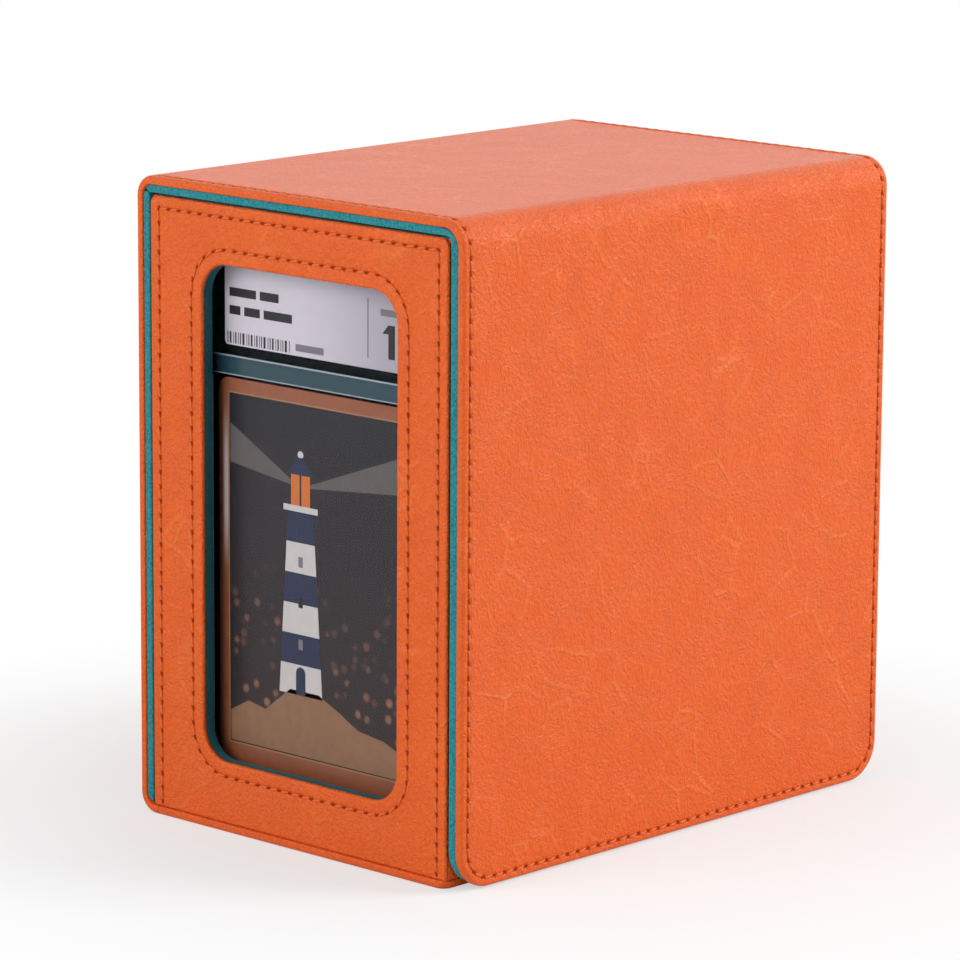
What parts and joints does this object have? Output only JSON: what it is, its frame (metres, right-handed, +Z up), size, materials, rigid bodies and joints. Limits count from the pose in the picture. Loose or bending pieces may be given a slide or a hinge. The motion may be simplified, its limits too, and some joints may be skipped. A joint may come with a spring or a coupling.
{
  "type": "card storage case",
  "caption": "Upright leather-covered storage case for graded cards, with a display window in front and a lid that continues into a magnetic side flap.",
  "frame": {"origin": "middle of the underside of the closed case", "axes": "+Z up, +X towards the closing flap, -Y out of the display window"},
  "size_m": [0.102, 0.143, 0.148],
  "materials": {
    "orange_leather": "fine grained, satin",
    "orange_thread": "twisted polyester",
    "teal_microfibre": "short nap",
    "grey_board": "raw board",
    "plated_magnet": "nickel plated",
    "clear_plastic": "clear, polished",
    "label_paper": "satin print",
    "card_stock": "gloss print"
  },
  "bodies": {
    "tray": {"base_leather": "orange_leather", "spine_leather": "orange_leather", "front_leather": "orange_leather", "back_leather": "orange_leather", "left_wall_leather": "orange_leather", "right_wall_leather": "orange_leather", "spine_thread": "orange_thread", "front_edge_thread": "orange_thread", "window_thread": "orange_thread", "back_edge_thread": "orange_thread", "spine_pad": "teal_microfibre", "floor_lining": "teal_microfibre", "front_lining": "teal_microfibre", "back_lining": "teal_microfibre", "left_lining": "teal_microfibre", "right_lining": "teal_microfibre", "base_board": "grey_board", "spine_board": "grey_board", "front_wall_board": "grey_board", "back_wall_board": "grey_board", "left_wall_board": "grey_board", "right_wall_board": "grey_board", "wall_magnets": "plated_magnet", "slab_front_shell": "clear_plastic", "slab_rear_shell": "clear_plastic", "slab_cradle": "clear_plastic", "slab_label": "label_paper", "slab_card": "card_stock"},
    "lid": {"lid_leather": "orange_leather", "lid_board": "grey_board", "lid_pad": "teal_microfibre", "lid_thread": "orange_thread", "bend_lining": "teal_microfibre"},
    "flap": {"flap_leather": "orange_leather", "flap_board": "grey_board", "flap_pad": "teal_microfibre", "flap_thread": "orange_thread", "flap_magnets": "plated_magnet"},
    "divider": {"divider_board": "grey_board", "divider_cloth": "teal_microfibre"}
  },
  "joints": [
    {"name": "lid_hinge", "type": "hinge", "parent": "tray", "child": "lid", "pos_m": [-0.04959, 0, 0.14659], "axis": [0, -1, 0], "range_deg": [0, 175]},
    {"name": "flap_hinge", "type": "hinge", "parent": "lid", "child": "flap", "pos_m": [0.0491, 0, 0.1461], "axis": [0, -1, 0], "range_deg": [0, 175]},
    {"name": "divider_slide", "type": "slide", "parent": "tray", "child": "divider", "axis": [0, 1, 0], "range_m": [0, 0.1239]}
  ]
}
